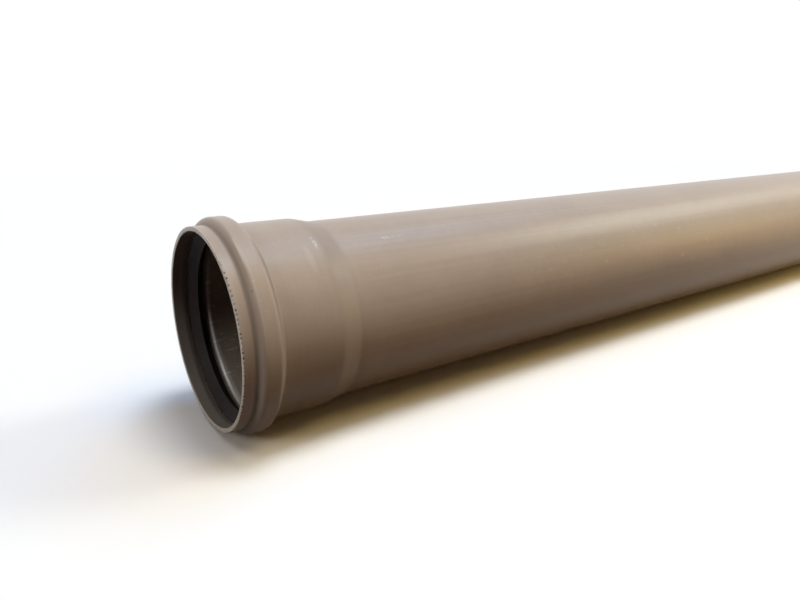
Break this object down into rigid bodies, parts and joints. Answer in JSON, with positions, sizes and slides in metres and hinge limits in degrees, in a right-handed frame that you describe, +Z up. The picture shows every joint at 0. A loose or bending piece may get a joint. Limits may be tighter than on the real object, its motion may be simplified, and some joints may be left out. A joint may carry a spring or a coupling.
{
  "type": "pvc drain pipe",
  "caption": "Straight grey PVC drain pipe with a push-fit socket, a bead that holds a rubber sealing ring, and a chamfered spigot that pushes into the next socket.",
  "frame": {"origin": "on the floor, under the middle of the pipe's overall length", "axes": "+X along the pipe from the socket's mouth to the spigot; the axis leans down by 0.44 degrees towards the spigot, as the pipe lies on its bead and its spigot; +Z up"},
  "size_m": [1.0594, 0.1258, 0.126],
  "materials": {
    "pvc": "satin extruded PVC, warm grey",
    "seal_rubber": "matte black moulded rubber"
  },
  "bodies": {
    "root": {"pipe": "pvc", "sealing_ring": "seal_rubber"}
  },
  "joints": []
}
